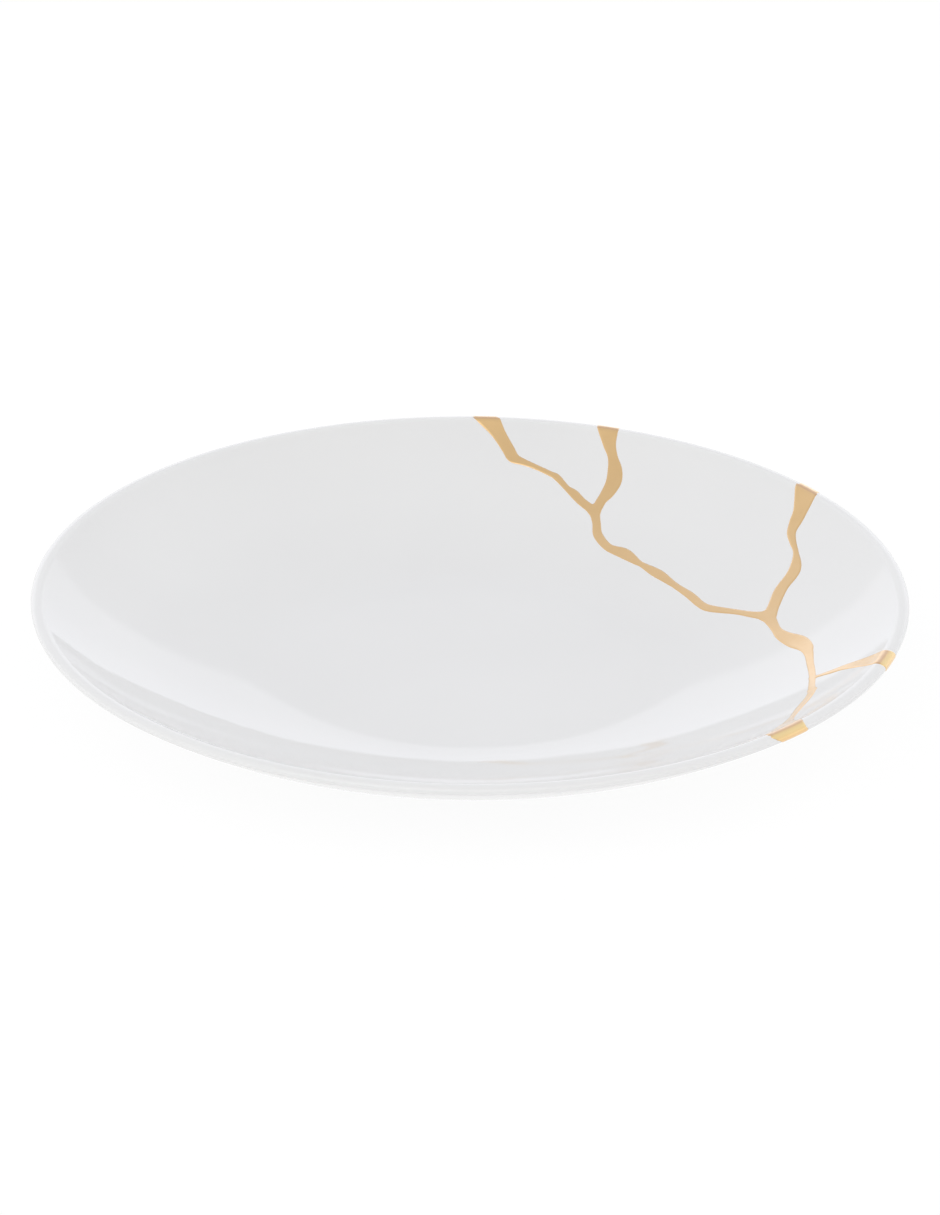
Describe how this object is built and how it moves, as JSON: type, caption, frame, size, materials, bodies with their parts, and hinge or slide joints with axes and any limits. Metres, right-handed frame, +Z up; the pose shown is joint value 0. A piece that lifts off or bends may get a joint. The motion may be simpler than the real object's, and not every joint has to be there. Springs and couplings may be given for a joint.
{
  "type": "kintsugi bread plate",
  "caption": "Round shallow white porcelain bread plate with a rounded lip and a low foot ring, mended with branching gold seams; holds bread, butter or small bites.",
  "frame": {"origin": "on the plate's axis, level with the underside of the foot ring, where the plate stands", "axes": "+Z up along the plate's axis, out of the dish; +X to the right and +Y away from the viewer as pictured, so the gold seam lies over the +X side"},
  "size_m": [0.16, 0.1603, 0.0199],
  "materials": {
    "porcelain": "white porcelain under a glossy clear glaze, matte on the foot ring's standing face",
    "gold": "satin burnished gold, slightly raised, with soft edges"
  },
  "bodies": {
    "root": {"plate": "porcelain", "gold_seam": "gold"}
  },
  "joints": []
}
